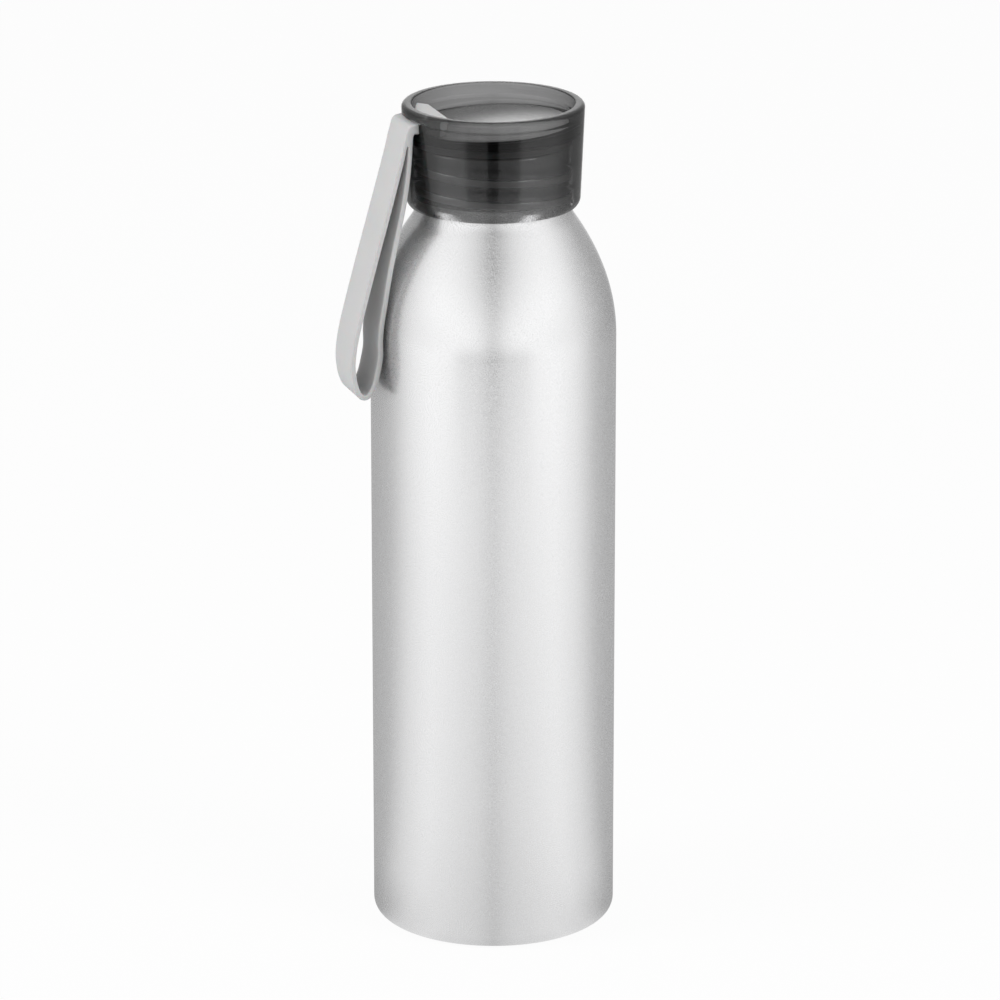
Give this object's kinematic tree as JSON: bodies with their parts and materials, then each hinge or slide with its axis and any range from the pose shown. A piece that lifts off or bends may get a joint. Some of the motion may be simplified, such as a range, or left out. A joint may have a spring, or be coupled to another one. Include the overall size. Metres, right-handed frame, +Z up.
{
  "type": "aluminium drinking bottle",
  "caption": "Slim round-shouldered metal drinking bottle with a screw lid that has a dished top, and a soft carry loop hanging from the lid.",
  "frame": {"origin": "on the bottle's axis at the plane it stands on, 1 mm under the recessed base panel", "axes": "+Z up along the bottle's axis; the strap leaves the lid towards -X and its loop hangs on that side; +Y completes a right-handed frame, and the strap swings about it"},
  "size_m": [0.0752, 0.066, 0.2285],
  "materials": {
    "satin_aluminium": "satin, fine-grained, clear-coated",
    "smoke_plastic": "glossy, clear with a smoke-grey tint",
    "grey_silicone": "smooth matt silicone",
    "seal_silicone": "milky translucent silicone"
  },
  "bodies": {
    "bottle": {"bottle_shell": "satin_aluminium"},
    "seal": {"lid_seal": "seal_silicone"},
    "lid": {"screw_lid": "smoke_plastic", "strap_anchor": "grey_silicone"},
    "strap": {"strap_loop": "grey_silicone"}
  },
  "joints": [
    {"name": "lid_rise", "type": "slide", "parent": "bottle", "child": "seal", "axis": [0, 0, 1], "range_m": [0, 0.021]},
    {"name": "lid_turn", "type": "hinge", "parent": "seal", "child": "lid", "pos_m": [0, 0, 0.21], "axis": [0, 0, 1], "range_deg": [0, 1260]},
    {"name": "strap_swing", "type": "hinge", "parent": "lid", "child": "strap", "pos_m": [-0.0254, 0, 0.22389], "axis": [0, 1, 0], "range_deg": [0, 150]}
  ],
  "couplings": [
    {"joint": "lid_rise", "follows": "lid_turn", "m_per_rad": 0.00095493}
  ]
}
